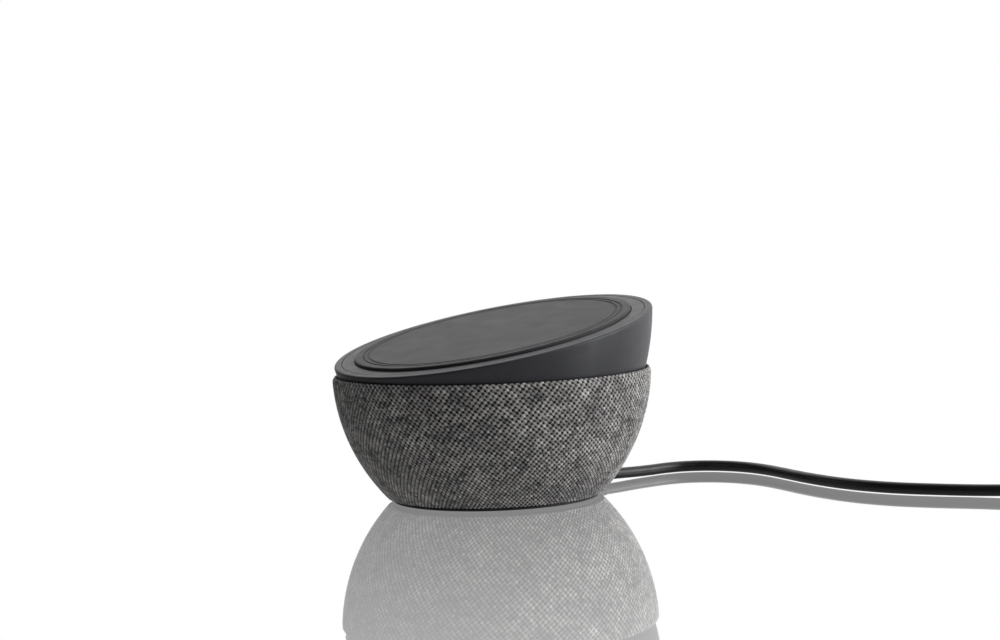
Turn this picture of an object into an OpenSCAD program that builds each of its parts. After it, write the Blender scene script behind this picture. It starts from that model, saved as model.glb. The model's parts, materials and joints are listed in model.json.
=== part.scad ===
// Wireless charging pad. A bowl-shaped base covered in woven fabric carries a slanted
// round head. The head turns on a leaning pivot, so its charging face goes from tilted
// to level. Millimetres, +Z up, the cord leaves towards +Y, and the origin is the centre
// of the underside of the foot.

/* [Bowl] */
// Radius of the covered bowl at its widest level
bowl_r = 44.8; // [44.4:0.1:46]
// Height of the bowl's level top edge
rim_h = 35.6; // [35:0.1:36.4]
// Radius of the arc that the bowl's side follows
side_arc = 52.6; // [52:0.1:54]
// Height at which that arc stands upright
side_arc_z = 37.1; // [36.6:0.1:38]
// Thickness of the fabric cover
fabric_t = 0.6; // [0.4:0.05:0.65]
// Wall of the moulded bowl under the fabric
shell_t = 1.5; // [1.3:0.1:1.7]
// Thickness of the foot ring
foot_h = 1; // [0.8:0.1:1.2]
// Outer radius of the foot ring
foot_r = 29; // [27.5:0.1:29.2]

/* [Head] */
// Lean of the pivot from upright; at rest the face is tilted by twice as much
pivot_tilt = 5.5; // [4.5:0.1:5.6]
// Radius of the head where it passes the bowl's top edge
head_rim_r = 43.2; // [42.8:0.1:43.2]
// Radius of the arc that the head's side follows
head_arc = 72; // [68:1:78]
// Height above the bowl's edge, along the pivot, at which that arc stands upright
head_arc_w = 20.3; // [19:0.1:21]
// Height of the head's face above the bowl's edge, along the pivot
face_w = 10.2; // [9.8:0.1:11]
// Wall of the head's shell
head_t = 1.8; // [1.6:0.1:2]
// How far the head can be turned, in degrees
twist_range = 180; // [90:10:180]

/* [Charging coil] */
// Turns of litz wire in the coil
coil_turns = 10; // [8:1:12]
// Thickness of the litz wire
litz_d = 1.1; // [0.9:0.05:1.15]
// Radius of the coil's first turn
coil_first_r = 10.8; // [10:0.2:11]

/* [Cord] */
// Diameter of the cord
cord_d = 3.2; // [3:0.1:3.2]
// Height of the cord's exit above the table
exit_z = 2; // [2:0.1:2.4]
// Radius of the stored coil at the middle of its turns
stored_r = 19; // [18:0.5:19]

/* [Hidden] */
$fn = 96;
// facets of the widest arcs
fine = 180;
// overlap that keeps a cut clear of the face it starts from
over = 1;

// Bowl, measured inwards from the fabric
shell_out = fabric_t + 0.05;
shell_in = shell_out + shell_t;
head_gap = 0.4;
lip_r = head_rim_r + head_gap;
lip_depth = 5.6;
lip_flare = 1.5;
trim_t = 0.5;
trim_h = 0.8;
trim_proud = 0.15;
foot_in_r = 19.5;

// Base plate, its columns and what stands on it
cover_r = 26.1;
cover_t = 2;
cover_top = foot_h + cover_t;
column_at = 23.5;
column_r = 3.3;
column_angles = [-90, 30, 150];
rib_t = 1.6;
screw_r = 1.1;
screw_head_r = 2;
screw_play = 0.05;
post_at = 13;
post_r = 2.6;
post_angles = [90, 210, 330];
board_z = 11;
board_t = 1.6;
board_r = 18;
board_top = board_z + board_t;
small_screw_r = 0.9;
ballast_r = 18;
ballast_t = 5.8;

// Cord exit through the back of the bowl
collar_w = 6;
collar_h = 3.9;
collar_play = 0.1;
boot_end_r = 1.75;
lead_z = 4.2;
gland_in_y = 23.5;
gland_wall_y = 26.3;
boot_y = 33;
boot_l = 6;
gland_w = 9.2;
gland_h = 5.3;
bend_r = 3;

// Pivot: heights along it are measured from the bowl's edge
pivot_y = 1.2;
deck_w = -16.4;
deck_t = 2.2;
deck_top = deck_w + deck_t;
deck_r = 30;
tube_r = 6;
tube_bore_r = 3.6;
tube_top_w = -8.6;
tube_flange_r = 8;
glide_t = 0.95;
glide_r = 14.5;
table_w = -13.2;
table_t = 2;
table_top = table_w + table_t;
table_r = 34.3;
running_fit = 0.05;
groove_w = -10.5;
groove_h = 1;
groove_r = 5.4;
slot_at = 18;
pin_r = 1.5;
slot_play = 0.2;
pin_angle = 0;

// Head
head_band = 1.4;
skirt_w = -4.6;
skirt_top_r = 40;
skirt_bottom_r = 36.4;
boss_at = 31.5;
boss_r = 2.8;
boss_angles = [45, 135, 225, 315];
face_shift = 0.6;
edge_r = 45.3;
edge_cut = 0.7;
plate_r = 43.2;
plate_t = 1.6;
ledge_r = 40.6;
ledge_t = 1.2;
pad_r = 39.4;
pad_sunk = 0.6;
pad_proud = 0.8;
tray_r = 26.6;
tray_z = -5.4;
tray_floor = 1;
tray_wall = 1.2;
ear_at = 29.6;
ear_angles = [30, 150, 270];
ferrite_r = 25;
ferrite_t = 1.2;
layer_gap = 0.05;
ferrite_z = tray_z + tray_floor + layer_gap;
coil_z = ferrite_z + ferrite_t + layer_gap + litz_d / 2;

// Stored cord: four turns beside each other, two layers high
stored_at = [111.5, 124.1];
stored_cols = 4;
stored_rows = 2;
tie_t = 0.6;
tie_angle = 200;
tie_span = 18;
sides = 8;

// Centre line of the cord from the boot to the stored coil
cord_route = [
  [0, 39, 2], [0, 44, 1.9], [0, 50, 1.7], [0, 56, 1.6], [0, 62, 1.6], [1.5, 68, 1.6],
  [6, 73.5, 1.6], [12.5, 77, 1.6], [20, 78.3, 1.6], [28, 77.8, 1.6], [37, 76, 1.6],
  [46, 74, 1.6], [55, 72.6, 1.6], [64, 72, 1.6], [73, 72.6, 1.6], [82.5, 75, 1.6],
  [92, 79.5, 1.6], [101.5, 85.2, 1.6], [111, 91.5, 1.8], [119.3, 97.6, 2],
  [126, 104, 2.2], [131, 110.5, 2.2]
];
// Centre line from the stored coil to the plug
tail_route = [
  [131, 110.5, 5.4], [134.3, 115.1, 5.2], [137.1, 120.1, 4.8], [139.1, 125.3, 4.3],
  [140.1, 130.7, 4]
];
plug_at = [140.1, 130.7, 4];
plug_turn = 8;
plug_boot_l = 8;
grip_l = 20;
grip_w = 15.6;
grip_h = 8;
metal_l = 12.5;
metal_w = 12;
metal_h = 4.5;
metal_t = 0.35;

// ---------------------------------------------------------------- shared forms

// Frame whose Z runs along the leaning pivot, with zero at the bowl's edge
module pivot_frame() {
  translate([0, pivot_y, rim_h]) rotate([pivot_tilt, 0, 0]) children();
}

// Frame of the charging face, with Z out of the face
module face_frame() {
  pivot_frame() translate([0, 0, face_w]) rotate([pivot_tilt, 0, 0]) children();
}

// Repeats a part round a circle
module around(radius, angles) {
  for (a = angles) rotate([0, 0, a]) translate([radius, 0, 0]) children();
}

// Round plate or ring with its underside at z
module ring(outer, inner, z, h) {
  difference() {
    translate([0, 0, z]) cylinder(h = h, r = outer);
    if (inner > 0) translate([0, 0, z - over]) cylinder(h = h + 2 * over, r = inner);
  }
}

// Screw with a flat head from 0 upwards and its shank downwards
module screw(shank_r, head_r, head_h, length) {
  cylinder(h = head_h, r = head_r, $fn = 32);
  translate([0, 0, -length]) cylinder(h = length, r = shank_r, $fn = 32);
}

// Band between two insets of the bowl's side, between two heights
module side_band(from, to, low, high) {
  intersection() {
    translate([bowl_r - side_arc, side_arc_z]) difference() {
      circle(side_arc - from, $fn = 2 * fine);
      circle(side_arc - to, $fn = 2 * fine);
    }
    translate([bowl_r / 3, low]) square([bowl_r, high - low]);
  }
}

// Radius of the head's side at a height w along the pivot
function head_radius(w) =
  head_arc_x() + sqrt(head_arc * head_arc - (w - head_arc_w) * (w - head_arc_w));
function head_arc_x() =
  head_rim_r - sqrt(head_arc * head_arc - head_arc_w * head_arc_w);

// Outline between the head's axis and its side, between two heights
module head_outline(inset, low, high) {
  steps = ceil((high - low) / head_band);
  polygon(concat(
    [[0, low]],
    [for (i = [0:steps]) let (w = low + (high - low) * i / steps) [head_radius(w) - inset, w]],
    [[0, high]]
  ));
}

// Rectangle with rounded corners, centred
module rounded(w, h, r) {
  square([w - 2 * r, h], center = true);
  square([w, h - 2 * r], center = true);
  for (x = [-1, 1], y = [-1, 1]) {
    translate([x * (w / 2 - r), y * (h / 2 - r)]) circle(r, $fn = 32);
  }
}

function unit(v) = v / norm(v);
function blend(a, b, c, d, t) =
  0.5 * (2 * b + (c - a) * t + (2 * a - 5 * b + 4 * c - d) * t * t
  + (3 * b - a - 3 * c + d) * t * t * t);
// Smooth line through the points of a route, two steps to each stretch
function smooth(p) = let (n = len(p) - 1) concat(
  [for (i = [0:n - 1], t = [0, 0.5])
    blend(p[max(i - 1, 0)], p[i], p[i + 1], p[min(i + 2, n)], t)],
  [p[n]]);
// Rings of a tube of radius r about a line, with a flat underside
function tube_points(line, r) = [
  for (i = [0:len(line) - 1])
    let (
      ahead = unit(line[min(i + 1, len(line) - 1)] - line[max(i - 1, 0)]),
      side = unit(cross(ahead, [0, 0, 1])),
      up = cross(side, ahead)
    )
    for (k = [0:sides - 1])
      let (a = 360 * (k + 0.5) / sides)
        line[i] + r / cos(180 / sides) * (cos(a) * side + sin(a) * up)
];
function tube_faces(rings) = concat(
  [[for (k = [0:sides - 1]) k]],
  [[for (k = [sides - 1:-1:0]) (rings - 1) * sides + k]],
  [for (i = [0:rings - 2], k = [0:sides - 1]) let (n = (k + 1) % sides)
    [i * sides + k, (i + 1) * sides + k, (i + 1) * sides + n, i * sides + n]]
);
// Cord along a route
module tube(route) {
  line = smooth(route);
  polyhedron(points = tube_points(line, cord_d / 2), faces = tube_faces(len(line)));
}

// ------------------------------------------------------------------------ base

module foot_ring() {
  width = foot_r - foot_in_r;
  color("#202124") difference() {
    rotate_extrude() difference() {
      translate([foot_in_r + width / 2, foot_h / 2]) rounded(width, foot_h, 0.3);
      translate([foot_in_r + width / 2, 0]) square([width / 2, 0.5], center = true);
    }
    collar_notch(2 * collar_play, gland_wall_y - 0.3);
  }
}

// Notch for the cord's collar in the lower edge at the back, from y outwards
module collar_notch(play, y) {
  translate([0, y, exit_z]) rotate([-90, 0, 0]) linear_extrude(bowl_r) {
    rounded(collar_w + 2 * play, collar_h + 2 * play, collar_h / 2);
    translate([-collar_w / 2 - play, 0]) square([collar_w + 2 * play, 2 * exit_z]);
  }
}

module bottom_cover() {
  color("#2b2c30") difference() {
    union() {
      ring(cover_r, 0, foot_h, cover_t);
      around(post_at, post_angles) translate([0, 0, foot_h]) cylinder(h = board_z - foot_h, r = post_r);
    }
    around(column_at, column_angles) {
      translate([0, 0, foot_h - over]) cylinder(h = cover_t + 2 * over, r = screw_r + 0.2);
      translate([0, 0, foot_h - over]) cylinder(h = 1.1 + over, r = screw_head_r + 0.2);
    }
    around(post_at, post_angles) translate([0, 0, board_z - 6]) {
      cylinder(h = 6 + over, r = small_screw_r + screw_play);
    }
    translate([-gland_w / 2 - 0.2, gland_in_y - 2.4, 0]) cube([gland_w + 0.4, cover_r, 2 * cover_top]);
  }
}

module cover_screws() {
  color("#9a9ca0") around(column_at, column_angles) translate([0, 0, foot_h + 1.05]) mirror([0, 0, 1]) {
    screw(screw_r, screw_head_r, 1, 7.5);
  }
}

module ballast_plate() {
  color("#8c8f94") difference() {
    ring(ballast_r, 4, cover_top + 0.1, ballast_t);
    around(post_at, post_angles) cylinder(h = 2 * board_z, r = post_r + 0.3);
  }
}

module control_board() {
  color("#1f6b45") difference() {
    ring(board_r, 0, board_z, board_t);
    around(post_at, post_angles) cylinder(h = 2 * board_z, r = small_screw_r + 0.2);
    translate([-2.5, board_r - 1.5, board_z - over]) cube([5, 5, board_t + 2 * over]);
  }
}

module board_parts() {
  color("#2e2e30") {
    // socket for the cord
    translate([-3, 15.4, board_top]) cube([6, 2.1, 3.6]);
    // socket for the coil leads
    translate([-2.5, 1.2, board_top]) cube([5, 4, 1.8]);
    // power inductor
    translate([6.5, 3.5, board_top]) cube([7, 7, 3.4]);
    // controller and bridge chips
    translate([-9, -8, board_top]) cube([6, 6, 0.9]);
    translate([2, -9, board_top]) cube([5, 5, 0.9]);
    // filter capacitors
    for (x = [-13, -8]) translate([x, 6.5, board_top]) cylinder(h = 4.4, r = 2.1, $fn = 48);
    // tuning capacitors
    for (i = [0:3]) translate([-7 + 3.6 * i, -14.5, board_top]) cube([2.2, 3.2, 1.6]);
  }
}

module board_screws() {
  color("#9a9ca0") around(post_at, post_angles) translate([0, 0, board_top]) {
    screw(small_screw_r, 1.7, 1.2, 5);
  }
}

module supply_lead() {
  rise_y = gland_in_y - bend_r;
  rise_z = lead_z + bend_r;
  rise_top = board_top + 1.8 - bend_r;
  color("#141416") {
    translate([0, gland_in_y, rise_z]) rotate([0, -90, 0]) rotate([0, 0, 180]) lead_bend();
    translate([0, rise_y, rise_z]) cylinder(h = rise_top - rise_z, r = cord_d / 2, $fn = 32);
    translate([0, rise_y - bend_r, rise_top]) rotate([0, -90, 0]) lead_bend();
  }
}

// Quarter turn of the lead
module lead_bend() {
  rotate_extrude(angle = 90) translate([bend_r, 0]) circle(cord_d / 2, $fn = 32);
}

module cord_gland() {
  color("#18181a") difference() {
    union() {
      translate([-gland_w / 2, gland_in_y, foot_h + 0.1]) {
        cube([gland_w, gland_wall_y - gland_in_y, gland_h]);
      }
      translate([0, boot_y, exit_z]) rotate([90, 0, 0]) {
        linear_extrude(boot_y - gland_wall_y) rounded(collar_w, collar_h, collar_h / 2 - 0.01);
      }
      translate([0, boot_y, exit_z]) rotate([-90, 0, 0]) {
        cylinder(h = boot_l, r1 = collar_h / 2, r2 = boot_end_r);
      }
    }
    for (i = [1:3]) translate([0, boot_y + 1.4 * i, exit_z]) rotate([-90, 0, 0]) {
      ring(collar_h, cord_d / 2 + 0.05, -0.25, 0.5);
    }
  }
}

module bowl_shell() {
  color("#3a3b3f") difference() {
    union() {
      rotate_extrude($fn = fine) side_band(shell_out, shell_in, foot_h, rim_h - trim_h - 0.05);
      intersection() {
        around(column_at, column_angles) {
          translate([0, 0, cover_top + 0.05]) cylinder(h = rim_h, r = column_r);
          translate([0, -rib_t / 2, cover_top + 6]) cube([19, rib_t, rim_h]);
        }
        rotate_extrude($fn = fine) bowl_room();
        pivot_frame() translate([0, 0, deck_w - 2 * rim_h]) cylinder(h = 2 * rim_h, r = 2 * bowl_r);
      }
    }
    translate([0, 0, rim_h - lip_depth]) cylinder(h = lip_depth, r1 = lip_r - lip_flare, r2 = lip_r, $fn = fine);
    collar_notch(collar_play, gland_wall_y - over);
    around(column_at, column_angles) cylinder(h = cover_top + 9, r = screw_r + screw_play);
    deck_screw_places() translate([0, 0, deck_w - 7]) cylinder(h = 8, r = screw_r + screw_play);
  }
}

// Space inside the bowl's wall, reaching a little into it
module bowl_room() {
  intersection() {
    translate([bowl_r - side_arc, side_arc_z]) circle(side_arc - shell_in + 0.3, $fn = 2 * fine);
    square([bowl_r, rim_h - lip_depth]);
  }
}

// Puts a part on the pivot's line above each column of the bowl
module deck_screw_places() {
  lean = sin(pivot_tilt);
  for (a = column_angles) {
    x = column_at * cos(a);
    y = (column_at * sin(a) - pivot_y + deck_w * lean) / cos(pivot_tilt);
    pivot_frame() translate([x, y, 0]) children();
  }
}

module fabric_cover() {
  color("#a3a19e") difference() {
    rotate_extrude($fn = fine) side_band(0, fabric_t, foot_h, rim_h - 0.1);
    collar_notch(1.5 * collar_play, gland_wall_y);
  }
}

module trim_ring() {
  bevel = 0.15;
  top = rim_h + trim_proud;
  color("#1c1c1f") rotate_extrude($fn = fine) polygon([
    [lip_r, rim_h - trim_h], [lip_r + trim_t, rim_h - trim_h], [lip_r + trim_t, top - bevel],
    [lip_r + trim_t - bevel, top], [lip_r + bevel, top], [lip_r, top - bevel]
  ]);
}

// ----------------------------------------------------------------------- pivot

module pivot_deck() {
  color("#4a4b50") difference() {
    pivot_frame() difference() {
      ring(deck_r, tube_r, deck_w, deck_t);
      rotate([0, 0, pin_angle]) translate([0, 0, deck_w - over]) {
        rotate_extrude(angle = twist_range) {
          translate([slot_at - pin_r - slot_play, 0]) square([2 * (pin_r + slot_play), deck_t + 2 * over]);
        }
        for (a = [0, twist_range]) rotate([0, 0, a]) translate([slot_at, 0, 0]) {
          cylinder(h = deck_t + 2 * over, r = pin_r + slot_play);
        }
      }
    }
    deck_screw_places() translate([0, 0, deck_w - over]) {
      cylinder(h = deck_t + 2 * over, r = screw_r + 0.2);
      translate([0, 0, over + 1]) cylinder(h = deck_t, r = screw_head_r + 0.2);
    }
  }
}

module deck_screws() {
  color("#9a9ca0") deck_screw_places() translate([0, 0, deck_w + 1.05]) {
    screw(screw_r, screw_head_r, 1.1, 6.8);
  }
}

module pivot_tube() {
  color("#b8babd") pivot_frame() difference() {
    union() {
      ring(tube_r, tube_bore_r, deck_w, tube_top_w - deck_w);
      ring(tube_flange_r, tube_bore_r, deck_w - 1, 1);
    }
    ring(tube_r + 1, groove_r, groove_w, groove_h);
  }
}

module glide_washer() {
  color("#e6e3da") pivot_frame() ring(glide_r, tube_r + 0.1, deck_top, glide_t);
}

module spring_washer() {
  color("#c2a24e") pivot_frame() ring(10.5, tube_r + 0.15, table_top + 0.05, groove_w - table_top - 0.1);
}

module retaining_ring() {
  color("#6f7176") pivot_frame() difference() {
    ring(8.4, groove_r + 0.05, groove_w + 0.05, groove_h - 0.1);
    translate([0, -2.4, groove_w - over]) cube([10, 4.8, groove_h + 2 * over]);
  }
}

module coil_leads() {
  color("#b5552b") pivot_frame() for (x = [-0.8, 0.8]) {
    translate([x, 0, -20.7]) cylinder(h = 25.1, r = 0.75, $fn = 32);
  }
}

// ------------------------------------------------------------------------ head

module turntable() {
  color("#4a4b50") pivot_frame() difference() {
    ring(table_r, tube_r + running_fit, table_w, table_t);
    rotate([0, 0, pin_angle]) translate([slot_at, 0, table_w - over]) cylinder(h = table_t + 2 * over, r = pin_r);
    around(boss_at, boss_angles) translate([0, 0, table_w - over]) {
      cylinder(h = table_t + 2 * over, r = small_screw_r + 0.2);
      cylinder(h = 1.1 + over, r = 2);
    }
  }
}

module turntable_screws() {
  color("#9a9ca0") pivot_frame() around(boss_at, boss_angles) translate([0, 0, table_w + 1.05]) {
    mirror([0, 0, 1]) screw(small_screw_r, 1.8, 1, 7.5);
  }
}

module stop_pin() {
  color("#b8babd") pivot_frame() rotate([0, 0, pin_angle]) translate([slot_at, 0, deck_w + 0.5]) {
    cylinder(h = table_top - deck_w - 0.5, r = pin_r);
  }
}

module head_shell() {
  color("#43454a") difference() {
    intersection() {
      union() {
        pivot_frame() {
          rotate([0, 0, -90]) rotate_extrude($fn = fine) head_wall();
          around(boss_at, boss_angles) translate([0, 0, table_top + 0.02]) {
            cylinder(h = 10, r = boss_r);
            translate([0, -0.8, 0]) cube([4.8, 1.6, 7]);
          }
        }
        face_frame() translate([0, face_shift, 0]) ring(plate_r + 1, ledge_r, -plate_t - ledge_t, ledge_t - 0.02);
      }
      // slope that breaks the edge round the face
      face_frame() translate([0, face_shift, -60]) {
        cylinder(h = 60 + over, r1 = edge_r - edge_cut + 60, r2 = edge_r - edge_cut - over, $fn = fine);
      }
    }
    face_frame() translate([0, face_shift, 0]) {
      cylinder(h = 2 * bowl_r, r = 2 * bowl_r);
      translate([0, 0, -plate_t]) cylinder(h = 2 * plate_t, r = plate_r + 0.1, $fn = fine);
    }
    pivot_frame() around(boss_at, boss_angles) translate([0, 0, table_w]) {
      cylinder(h = 9, r = small_screw_r + screw_play);
    }
  }
}

// Half section of the head's shell: curved wall, seat for the face, and a narrower skirt
module head_wall() {
  top = face_w + 8;
  difference() {
    head_outline(0, skirt_w, top);
    head_outline(head_t, skirt_w + 1.2, top);
    translate([0, skirt_w - over]) square([skirt_top_r - 2.5, top]);
  }
  polygon([
    [skirt_bottom_r, table_w], [skirt_top_r, skirt_w + 0.6],
    [skirt_top_r - head_t, skirt_w + 0.6], [skirt_bottom_r - head_t, table_w]
  ]);
}

module top_plate() {
  color("#3d3f44") face_frame() difference() {
    union() {
      translate([0, face_shift, 0]) ring(plate_r, 0, -plate_t, plate_t);
      around(ear_at, ear_angles) translate([0, 0, -4]) cylinder(h = 3, r = 2.6);
    }
    translate([0, face_shift, -pad_sunk]) cylinder(h = 2 * pad_sunk, r = pad_r + 0.15, $fn = fine);
    around(ear_at, ear_angles) translate([0, 0, -4 - over]) cylinder(h = 3 + over - 0.2, r = small_screw_r + screw_play);
  }
}

module grip_pad() {
  h = pad_sunk + pad_proud - 0.02;
  color("#2f3034") face_frame() translate([0, face_shift, -pad_sunk + 0.02]) rotate_extrude($fn = fine) {
    difference() {
      union() {
        square([pad_r - 0.5, h]);
        square([pad_r, h - 0.5]);
        translate([pad_r - 0.5, h - 0.5]) circle(0.5, $fn = 32);
      }
      for (r = [35.4, 36.8]) translate([r, h]) circle(0.28, $fn = 24);
    }
  }
}

module coil_tray() {
  color("#e8e6e0") face_frame() difference() {
    union() {
      ring(tray_r, 0, tray_z, -1.75 - tray_z);
      around(ear_at, ear_angles) {
        translate([0, 0, tray_z]) cylinder(h = -4.05 - tray_z, r = 2.8);
        translate([-4, -2.8, tray_z]) cube([4, 5.6, -4.05 - tray_z]);
      }
    }
    translate([0, 0, tray_z + tray_floor]) cylinder(h = 10, r = tray_r - tray_wall);
    translate([0, 0, tray_z - over]) cylinder(h = 3 * over, r = 3);
    around(ear_at, ear_angles) translate([0, 0, tray_z - over]) cylinder(h = 4, r = small_screw_r + 0.2);
  }
}

module tray_screws() {
  color("#9a9ca0") face_frame() around(ear_at, ear_angles) translate([0, 0, tray_z - 0.02]) {
    mirror([0, 0, 1]) screw(small_screw_r, 1.7, 1.1, 3.4);
  }
}

module ferrite_sheet() {
  color("#4d4a48") face_frame() ring(ferrite_r, 3, ferrite_z, ferrite_t);
}

module charging_coil() {
  pitch = litz_d + 0.06;
  color("#b8692e") face_frame() translate([0, 0, coil_z]) for (i = [0:coil_turns - 1]) {
    rotate_extrude() translate([coil_first_r + i * pitch, 0]) circle(litz_d / 2, $fn = 24);
  }
}

module heat_sensor() {
  color("#1d1d1f") face_frame() translate([4, -1.6, ferrite_z + ferrite_t + 0.02]) cube([3.6, 3.2, 1.1]);
}

// ------------------------------------------------------------------------ cord

module cord() {
  color("#111113") tube(cord_route);
}

// Outline across the stored turns
module turns_outline(grow) {
  translate([stored_r, tie_t + stored_rows * cord_d / 2]) {
    rounded(stored_cols * cord_d + 2 * grow, stored_rows * cord_d + 2 * grow, cord_d / 2 + grow);
  }
}

module cord_coil() {
  color("#111113") translate(stored_at) rotate_extrude() turns_outline(0);
}

module cord_tail() {
  color("#111113") tube(tail_route);
}

module cord_tie() {
  color("#2a2a2d") translate(stored_at) rotate([0, 0, tie_angle]) rotate_extrude(angle = tie_span) difference() {
    turns_outline(tie_t);
    turns_outline(0.02);
  }
}

// Frame at the plug's cord end, with Y towards the plug's tip
module plug_frame() {
  translate(plug_at) rotate([0, 0, -plug_turn]) children();
}

// Bar with a rounded section, from y onwards
module bar(w, h, r, y, l) {
  translate([0, y + l, 0]) rotate([90, 0, 0]) linear_extrude(l) rounded(w, h, r);
}

module plug_boot() {
  color("#131315") plug_frame() rotate([-90, 0, 0]) difference() {
    cylinder(h = plug_boot_l, r1 = 2, r2 = 2.9);
    for (i = [1:3]) ring(4, 1.75 + 0.1 * i, 0.2 + 1.7 * i, 0.6);
  }
}

module plug_grip() {
  color("#131315") plug_frame() bar(grip_w, grip_h, 1.6, plug_boot_l, grip_l);
}

module plug_shell() {
  color("#c3c5c8") plug_frame() difference() {
    bar(metal_w, metal_h, 0.5, plug_boot_l + grip_l, metal_l);
    bar(metal_w - 2 * metal_t, metal_h - 2 * metal_t, 0.3, plug_boot_l + grip_l + 0.5, metal_l);
    for (x = [-2.6, 2.6]) translate([x - 1.1, plug_boot_l + grip_l + 5.2, 0]) cube([2.2, 2.4, metal_h]);
  }
}

module plug_tongue() {
  y = plug_boot_l + grip_l + 0.5;
  color("#e9e9e7") plug_frame() {
    difference() {
      translate([-metal_w / 2 + metal_t + 0.05, y, -metal_h / 2 + metal_t + 0.05]) {
        cube([metal_w - 2 * metal_t - 0.1, metal_l - 1.3, 1.8]);
      }
      for (i = [-1.5:1.5]) translate([2.2 * i - 0.5, y + 2.5, -metal_h / 2 + metal_t + 1.65]) {
        cube([1, metal_l, 1]);
      }
    }
  }
}

foot_ring();
bottom_cover();
cover_screws();
ballast_plate();
control_board();
board_parts();
board_screws();
supply_lead();
cord_gland();
bowl_shell();
fabric_cover();
trim_ring();
pivot_deck();
deck_screws();
pivot_tube();
glide_washer();
spring_washer();
retaining_ring();
coil_leads();
turntable();
turntable_screws();
stop_pin();
head_shell();
top_plate();
grip_pad();
coil_tray();
tray_screws();
ferrite_sheet();
charging_coil();
heat_sensor();
cord();
cord_coil();
cord_tail();
cord_tie();
plug_boot();
plug_grip();
plug_shell();
plug_tongue();
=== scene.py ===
import json
import math

import bmesh
import bpy
from mathutils import Matrix, Vector


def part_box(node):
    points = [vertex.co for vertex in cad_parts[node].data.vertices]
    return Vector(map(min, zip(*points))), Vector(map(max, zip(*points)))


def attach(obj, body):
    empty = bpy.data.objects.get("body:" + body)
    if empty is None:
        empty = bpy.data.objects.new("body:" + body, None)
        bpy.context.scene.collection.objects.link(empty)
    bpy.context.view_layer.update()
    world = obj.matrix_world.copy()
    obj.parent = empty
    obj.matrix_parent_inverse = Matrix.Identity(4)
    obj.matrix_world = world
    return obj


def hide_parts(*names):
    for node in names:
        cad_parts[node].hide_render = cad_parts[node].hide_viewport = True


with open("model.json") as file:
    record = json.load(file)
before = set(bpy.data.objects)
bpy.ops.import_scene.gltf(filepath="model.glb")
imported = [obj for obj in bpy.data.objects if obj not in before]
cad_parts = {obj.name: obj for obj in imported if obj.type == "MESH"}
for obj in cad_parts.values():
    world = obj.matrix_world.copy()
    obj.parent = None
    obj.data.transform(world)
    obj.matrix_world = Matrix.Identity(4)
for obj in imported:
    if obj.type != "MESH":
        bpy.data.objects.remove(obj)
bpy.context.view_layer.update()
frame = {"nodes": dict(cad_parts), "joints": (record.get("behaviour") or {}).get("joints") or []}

# ---------------------------------------------------------------------- camera
# A long lens stands a little above the table and looks past the front of the pad
# towards its cord. It leans by two degrees, as a hand-set studio camera does.
mm = 0.001
heading = math.radians(55)
camera_back = 609 * mm
camera_up = 85.37 * mm
camera_data = bpy.data.cameras.new("studio_camera")
camera_data.sensor_width = 36
camera_data.lens = 78.33
camera_data.clip_start = 0.01
camera_data.clip_end = 20
camera = bpy.data.objects.new("studio_camera", camera_data)
bpy.context.scene.collection.objects.link(camera)
bpy.context.scene.camera = camera
camera.matrix_world = (
    Matrix.Translation((camera_back * math.sin(heading), -camera_back * math.cos(heading), camera_up))
    @ Matrix.Rotation(heading - 0.0047, 4, "Z")
    @ Matrix.Rotation(math.pi / 2 - 0.0586, 4, "X")
    @ Matrix.Rotation(-0.0366, 4, "Z")
)


# ------------------------------------------------------------------------ cord
# The power cord: a round jacket of black elastomer over two pairs of wires. It leaves
# the back of the bowl at table height, swings round in one loose bend, and the rest
# of it is wound in a low coil: four turns on the table and three on top of them.
cord_d = 3.2 * mm
jacket_black = (0.011, 0.011, 0.012)
cord_route = [
    (0, 39, 2), (0, 44, 1.9), (0, 50, 1.7), (0, 56, 1.6), (0, 62, 1.6), (1.5, 68, 1.6),
    (6, 73.5, 1.6), (12.5, 77, 1.6), (20, 78.3, 1.6), (28, 77.8, 1.6), (37, 76, 1.6),
    (46, 74, 1.6), (55, 72.6, 1.6), (64, 72, 1.6), (73, 72.6, 1.6), (82.5, 75, 1.6),
    (92, 79.5, 1.6), (101.5, 85.2, 1.6), (111, 91.5, 1.8), (119.3, 97.6, 2), (126, 104, 2.2),
    (131, 110.5, 2.2),
]
tail_route = [
    (131, 110.5, 5.4), (134.3, 115.1, 5.2), (137.1, 120.1, 4.8), (139.1, 125.3, 4.3),
    (140.1, 130.7, 4),
]
coil_centre = Vector((111.5, 124.1, 0))
coil_start = math.radians(-35)
coil_radii = [23.8, 20.6, 17.4, 14.2, 14.2, 17.4, 20.6, 23.8]
coil_heights = [2.2, 2.2, 2.2, 2.2, 5.4, 5.4, 5.4, 5.4]


def eased(t):
    t = min(max(t, 0), 1)
    return t * t * (3 - 2 * t)


def through(points, steps):
    """A smooth line through the points, with that many steps to each stretch."""
    points = [Vector(p) for p in points]
    ends = [points[0], *points, points[-1]]
    line = []
    for a, b, c, d in zip(ends, ends[1:], ends[2:], ends[3:]):
        for i in range(steps):
            t = i / steps
            curve = (c - a) * t + (2 * a - 5 * b + 4 * c - d) * t**2
            line.append(b + 0.5 * (curve + (3 * b - a - 3 * c + d) * t**3))
    return line + [points[-1]]


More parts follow.
